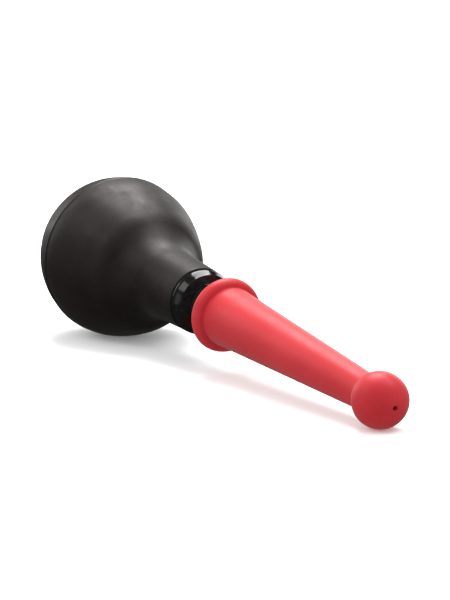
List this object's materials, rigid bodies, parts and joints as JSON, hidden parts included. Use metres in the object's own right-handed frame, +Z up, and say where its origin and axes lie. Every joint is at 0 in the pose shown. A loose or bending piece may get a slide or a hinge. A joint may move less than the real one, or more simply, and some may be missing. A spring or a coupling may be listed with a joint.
{
  "type": "dust blower bulb",
  "caption": "Black rubber squeeze bulb with a gloss collar and a long, tapered, ball-ended red nozzle that screws off, for blowing dust out of fine work.",
  "frame": {"origin": "on the surface that it lies on, under the middle of its length and width", "axes": "+Z up; +X along the floor from the bulb to the ball tip; the turning axis of every piece lies in the XZ plane and runs down towards the tip by about 6.2 degrees"},
  "size_m": [0.3106, 0.0816, 0.0812],
  "materials": {
    "black_rubber": "satin moulded rubber",
    "gloss_black": "high gloss",
    "red_nozzle": "soft satin gloss",
    "white_nylon": "satin",
    "spring_steel": "drawn wire",
    "grey_silicone": "matte silicone",
    "filter_foam": "open foam"
  },
  "bodies": {
    "bulb_and_collar": {"squeeze_bulb": "black_rubber", "threaded_collar": "gloss_black", "outlet_valve_spring": "spring_steel", "outlet_valve_retainer": "gloss_black"},
    "outlet_ball": {"outlet_valve_ball": "white_nylon"},
    "nozzle_seal": {"nozzle_washer": "grey_silicone"},
    "nozzle": {"nozzle": "red_nozzle"},
    "intake_valve": {"intake_valve_body": "gloss_black", "intake_valve_cage": "white_nylon", "intake_filter_pad": "filter_foam", "intake_filter_ring": "gloss_black"},
    "intake_disc": {"intake_valve_disc": "grey_silicone"}
  },
  "joints": [
    {"name": "bulb_squeeze", "type": "slide", "parent": "bulb_and_collar", "child": "intake_valve", "axis": [0.9941, 0, -0.1086], "range_m": [0, 0.03], "stiffness_N_per_m": 600, "deforming": ["squeeze_bulb"]},
    {"name": "intake_disc_lift", "type": "slide", "parent": "intake_valve", "child": "intake_disc", "axis": [0.9941, 0, -0.1086], "range_m": [0, 0.002]},
    {"name": "outlet_ball_lift", "type": "slide", "parent": "bulb_and_collar", "child": "outlet_ball", "axis": [0.9941, 0, -0.1086], "range_m": [0, 0.0025], "stiffness_N_per_m": 30, "springref_m": -0.002, "deforming": ["outlet_valve_spring"]},
    {"name": "nozzle_travel", "type": "slide", "parent": "bulb_and_collar", "child": "nozzle_seal", "axis": [0.9941, 0, -0.1086], "range_m": [0, 0.012]},
    {"name": "nozzle_turn", "type": "hinge", "parent": "nozzle_seal", "child": "nozzle", "pos_m": [-0.11244, 0, 0.0404], "axis": [0.9941, 0, -0.1086], "range_deg": [0, 1081]}
  ],
  "couplings": [
    {"joint": "nozzle_turn", "follows": "nozzle_travel", "rad_per_m": 1570.8}
  ]
}
